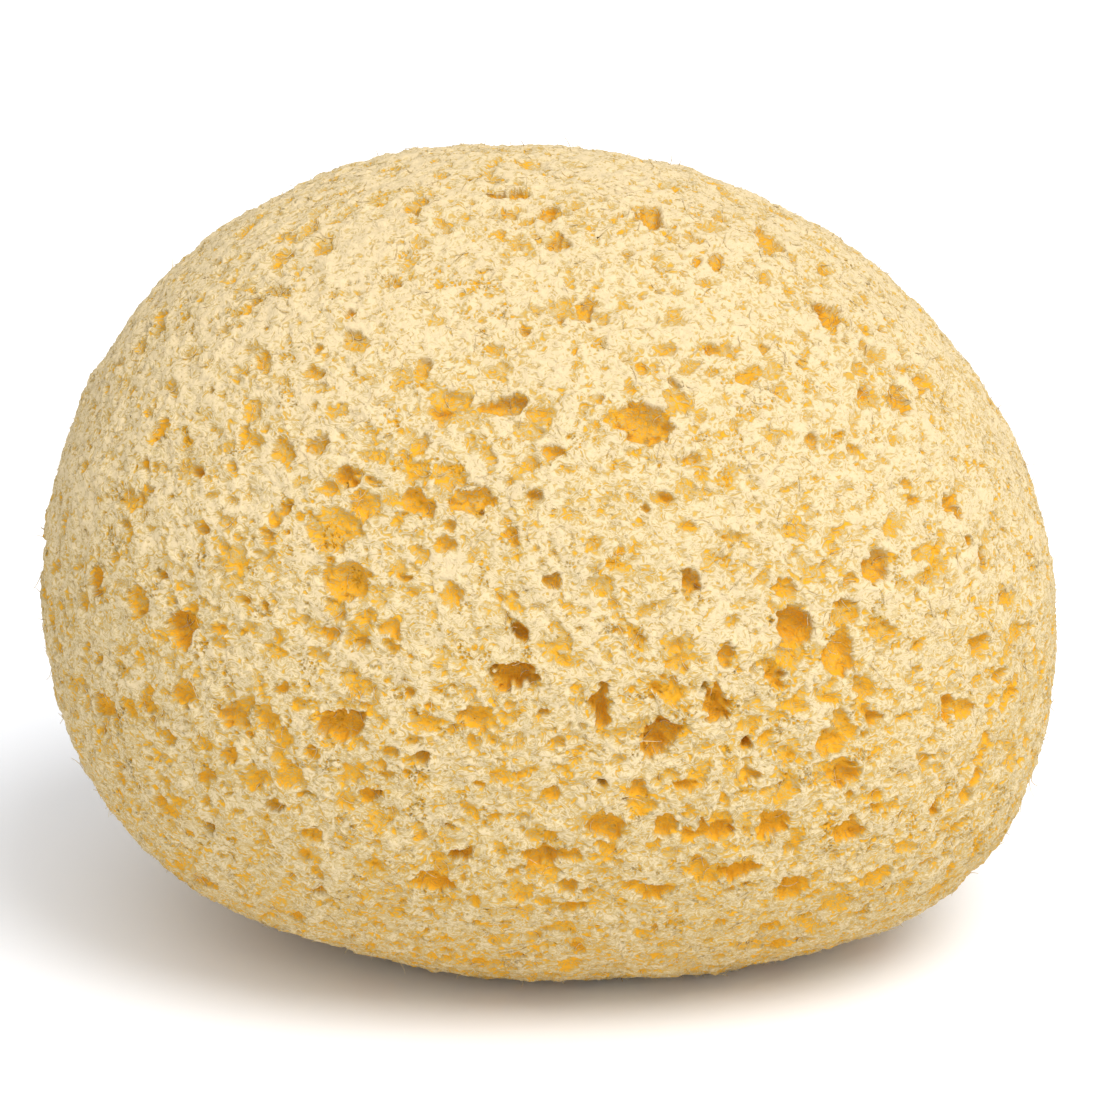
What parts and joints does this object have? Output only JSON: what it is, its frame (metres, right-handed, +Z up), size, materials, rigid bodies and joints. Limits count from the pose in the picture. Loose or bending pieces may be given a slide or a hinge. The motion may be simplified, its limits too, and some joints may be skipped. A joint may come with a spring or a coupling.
{
  "type": "sea sponge",
  "caption": "Large trimmed bath sponge from the sea, cut to a smooth rounded bun with open pores all over and a small flat underside to rest on.",
  "frame": {"origin": "bottom centre of the sponge's bounding box, on its flat underside", "axes": "+Z up from the flat underside, +X along the sponge's width, which is its longest side, and -Y towards its front"},
  "size_m": [0.159, 0.118, 0.126],
  "materials": {
    "sponge": "matte"
  },
  "bodies": {
    "root": {"sponge": "sponge"}
  },
  "joints": []
}
